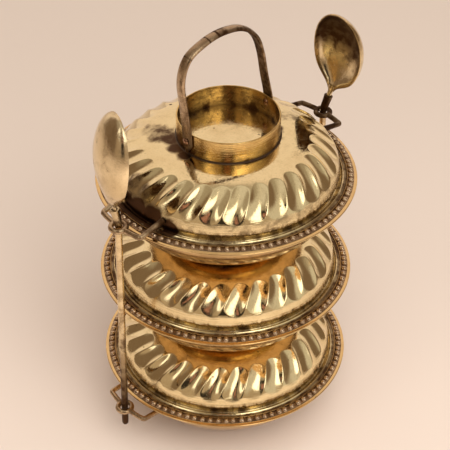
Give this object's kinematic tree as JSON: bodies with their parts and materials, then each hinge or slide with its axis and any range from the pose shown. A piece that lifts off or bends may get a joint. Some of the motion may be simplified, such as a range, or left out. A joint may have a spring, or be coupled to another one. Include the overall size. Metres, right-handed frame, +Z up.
{
  "type": "tiffin carrier",
  "caption": "Stacked round food bowls with domed, fluted lids and beaded rims, an arch handle, and long-handled spoons whose rods lock the stack through eyes on its sides.",
  "frame": {"origin": "centre of the face that the bottom foot ring stands on, on the axis of the stack", "axes": "+Z up along the stack, +X through the right spoon's lower eye, with the handle's arch in the XZ plane"},
  "size_m": [0.2048, 0.1684, 0.2985],
  "materials": {
    "bowl_brass": "aged and polished",
    "bead_brass": "aged, dark between the beads",
    "lid_brass": "polished, with dark grooves",
    "collar_brass": "polished, brushed",
    "solder": "dark, dull",
    "handle_bronze": "brown, worn bright on its edges",
    "rivet_copper": "dull copper",
    "bracket_bronze": "brown, worn",
    "rod_brass": "worn bright",
    "socket_brass": "worn",
    "spoon_brass": "worn, olive brown"
  },
  "bodies": {
    "bottom_bowl": {"bottom_bowl": "bowl_brass", "bottom_foot_ring": "bowl_brass", "bottom_bead_ring": "bead_brass", "bottom_bracket_left": "bracket_bronze", "bottom_bracket_right": "bracket_bronze"},
    "bottom_lid": {"bottom_lid": "lid_brass", "bottom_seat_ring": "lid_brass"},
    "middle_bowl": {"middle_bowl": "bowl_brass", "middle_foot_ring": "bowl_brass", "middle_bead_ring": "bead_brass"},
    "middle_lid": {"middle_lid": "lid_brass", "middle_seat_ring": "lid_brass"},
    "top_bowl": {"top_bowl": "bowl_brass", "top_foot_ring": "bowl_brass", "top_bead_ring": "bead_brass"},
    "top_lid": {"top_lid": "lid_brass", "collar": "collar_brass", "collar_solder": "solder", "handle": "handle_bronze", "handle_rivet_left": "rivet_copper", "handle_rivet_right": "rivet_copper", "top_bracket_left": "bracket_bronze", "top_bracket_right": "bracket_bronze"},
    "left_rod": {"left_rod": "rod_brass"},
    "right_rod": {"right_rod": "rod_brass"},
    "left_spoon": {"left_socket": "socket_brass", "left_spoon_bowl": "spoon_brass"},
    "right_spoon": {"right_socket": "socket_brass", "right_spoon_bowl": "spoon_brass"}
  },
  "joints": [
    {"name": "bottom_lid_lift", "type": "slide", "parent": "bottom_bowl", "child": "bottom_lid", "axis": [0, 0, 1], "range_m": [0, 0.06]},
    {"name": "middle_bowl_lift", "type": "slide", "parent": "bottom_lid", "child": "middle_bowl", "axis": [0, 0, 1], "range_m": [0, 0.05]},
    {"name": "middle_lid_lift", "type": "slide", "parent": "middle_bowl", "child": "middle_lid", "axis": [0, 0, 1], "range_m": [0, 0.06]},
    {"name": "top_bowl_lift", "type": "slide", "parent": "middle_lid", "child": "top_bowl", "axis": [0, 0, 1], "range_m": [0, 0.05]},
    {"name": "top_lid_lift", "type": "slide", "parent": "top_bowl", "child": "top_lid", "axis": [0, 0, 1], "range_m": [0, 0.06]},
    {"name": "left_rod_pull", "type": "slide", "parent": "top_lid", "child": "left_rod", "axis": [0.0004, -0.022, 0.9998], "range_m": [0, 0.19]},
    {"name": "right_rod_pull", "type": "slide", "parent": "top_lid", "child": "right_rod", "axis": [-0.0004, 0.022, 0.9998], "range_m": [0, 0.19]},
    {"name": "left_spoon_turn", "type": "hinge", "parent": "left_rod", "child": "left_spoon", "pos_m": [-0.09073, -0.00352, 0.1977], "axis": [0.0004, -0.022, 0.9998], "continuous": true},
    {"name": "right_spoon_turn", "type": "hinge", "parent": "right_rod", "child": "right_spoon", "pos_m": [0.09073, 0.00352, 0.1977], "axis": [-0.0004, 0.022, 0.9998], "continuous": true}
  ]
}
